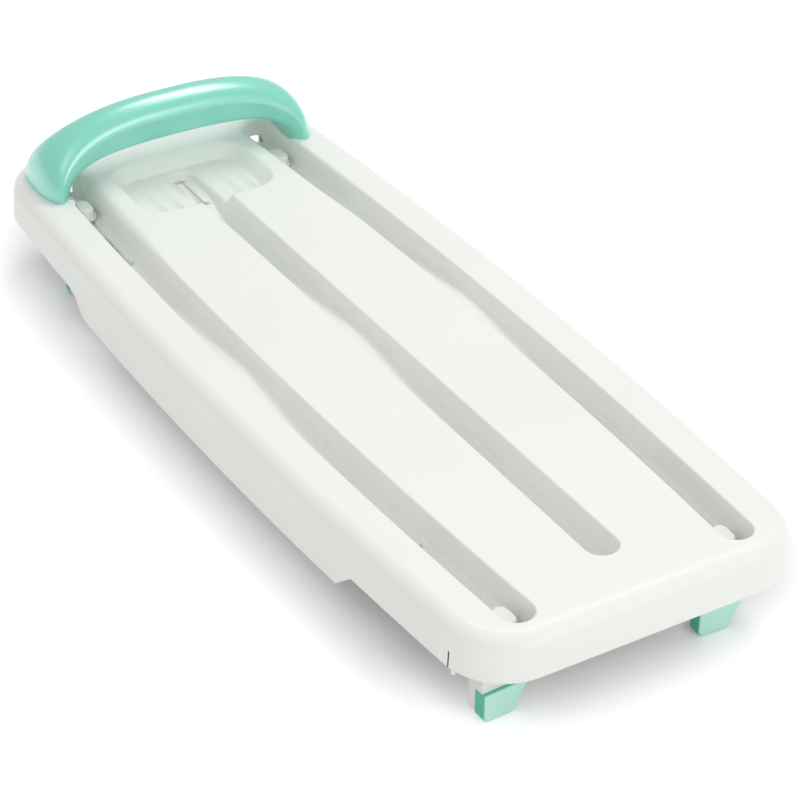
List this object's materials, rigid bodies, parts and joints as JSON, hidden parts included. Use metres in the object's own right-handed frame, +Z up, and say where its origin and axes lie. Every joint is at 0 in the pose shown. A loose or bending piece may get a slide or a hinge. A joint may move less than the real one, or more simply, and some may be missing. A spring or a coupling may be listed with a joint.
{
  "type": "bath board",
  "caption": "Moulded white bath board with drain grooves, a soap recess, a mint grab handle and padded feet that slide along the grooves.",
  "frame": {"origin": "on the ground plane under the middle of the board, level with the undersides of the four pads", "axes": "+X along the board away from the handle, +Y across it, +Z up"},
  "size_m": [0.702, 0.2734, 0.1429],
  "materials": {
    "white_board": "smooth moulded semi-gloss",
    "mint_handle": "smooth moulded satin",
    "white_bracket": "moulded matt",
    "white_clamp": "moulded matt",
    "mint_pad": "soft matt rubber",
    "steel": "stainless"
  },
  "bodies": {
    "board": {"board_shell": "white_board", "handle": "mint_handle", "handle_screws": "steel", "handle_washers": "steel"},
    "foot_near_left": {"bracket_near_left": "white_bracket", "pad_near_left": "mint_pad", "clamp_washer_near_left": "steel", "clamp_nut_near_left": "steel"},
    "clamp_near_left": {"clamp_head_near_left": "white_clamp", "clamp_bolt_near_left": "steel"},
    "foot_near_right": {"bracket_near_right": "white_bracket", "pad_near_right": "mint_pad", "clamp_washer_near_right": "steel", "clamp_nut_near_right": "steel"},
    "clamp_near_right": {"clamp_head_near_right": "white_clamp", "clamp_bolt_near_right": "steel"},
    "foot_far_left": {"bracket_far_left": "white_bracket", "pad_far_left": "mint_pad", "clamp_washer_far_left": "steel", "clamp_nut_far_left": "steel"},
    "clamp_far_left": {"clamp_head_far_left": "white_clamp", "clamp_bolt_far_left": "steel"},
    "foot_far_right": {"bracket_far_right": "white_bracket", "pad_far_right": "mint_pad", "clamp_washer_far_right": "steel", "clamp_nut_far_right": "steel"},
    "clamp_far_right": {"clamp_head_far_right": "white_clamp", "clamp_bolt_far_right": "steel"}
  },
  "joints": [
    {"name": "foot_slide_near_left", "type": "slide", "parent": "board", "child": "foot_near_left", "axis": [0.9987, 0.0503, 0], "range_m": [-0.09212, 0.00801]},
    {"name": "clamp_turn_near_left", "type": "hinge", "parent": "foot_near_left", "child": "clamp_near_left", "pos_m": [0.31, -0.08191, 0.0645], "axis": [0, 0, 1], "range_deg": [0, 180]},
    {"name": "foot_slide_near_right", "type": "slide", "parent": "board", "child": "foot_near_right", "axis": [0.9987, -0.0503, 0], "range_m": [-0.09212, 0.00801]},
    {"name": "clamp_turn_near_right", "type": "hinge", "parent": "foot_near_right", "child": "clamp_near_right", "pos_m": [0.31, 0.08191, 0.0645], "axis": [0, 0, 1], "range_deg": [0, 180]},
    {"name": "foot_slide_far_left", "type": "slide", "parent": "board", "child": "foot_far_left", "axis": [-0.9989, 0.0463, 0], "range_m": [-0.07508, 0.02903]},
    {"name": "clamp_turn_far_left", "type": "hinge", "parent": "foot_far_left", "child": "clamp_far_left", "pos_m": [-0.27, -0.08396, 0.0645], "axis": [0, 0, 1], "range_deg": [0, 180]},
    {"name": "foot_slide_far_right", "type": "slide", "parent": "board", "child": "foot_far_right", "axis": [-0.9989, -0.0463, 0], "range_m": [-0.07508, 0.02903]},
    {"name": "clamp_turn_far_right", "type": "hinge", "parent": "foot_far_right", "child": "clamp_far_right", "pos_m": [-0.27, 0.08396, 0.0645], "axis": [0, 0, 1], "range_deg": [0, 180]}
  ]
}
